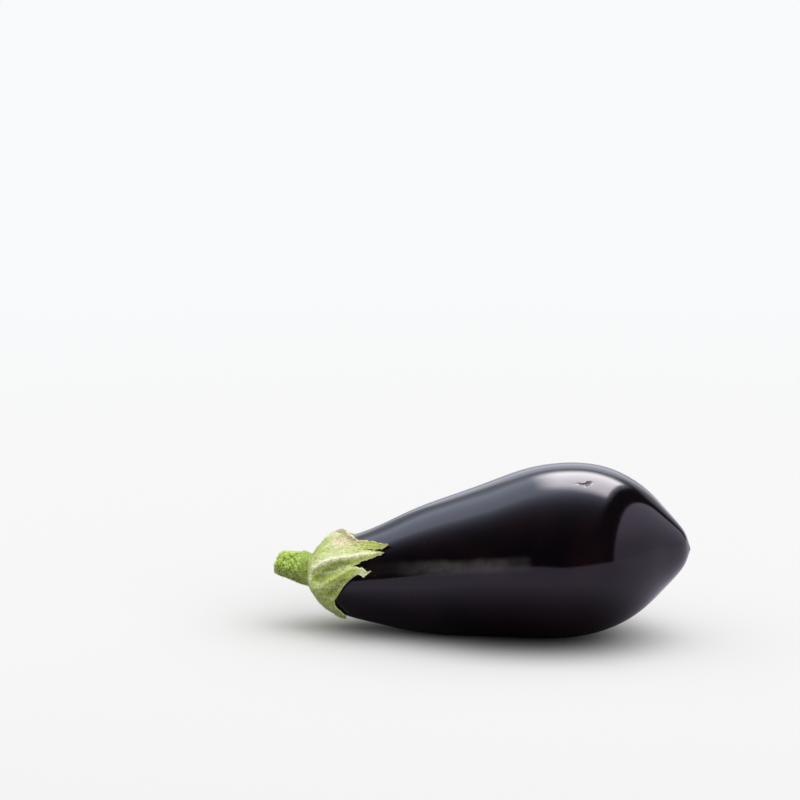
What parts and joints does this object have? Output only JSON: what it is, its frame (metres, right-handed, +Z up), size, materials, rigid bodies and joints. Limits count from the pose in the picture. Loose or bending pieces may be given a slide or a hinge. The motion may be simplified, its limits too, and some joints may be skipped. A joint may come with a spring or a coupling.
{
  "type": "eggplant",
  "caption": "Glossy dark oval fruit lying on its side, with a pointed green calyx capping its narrow end and a short cut stem.",
  "frame": {"origin": "on the surface it rests on, under the middle of the bounding box", "axes": "+X along the fruit from the stem to the blossom end, +Z up, lying on its flat spot"},
  "size_m": [0.202, 0.0846, 0.0846],
  "materials": {
    "skin": "smooth waxy skin, very glossy",
    "calyx": "matte, finely felted",
    "stem": "matte, warty and finely felted"
  },
  "bodies": {
    "root": {"fruit": "skin", "calyx": "calyx", "stem": "stem"}
  },
  "joints": []
}
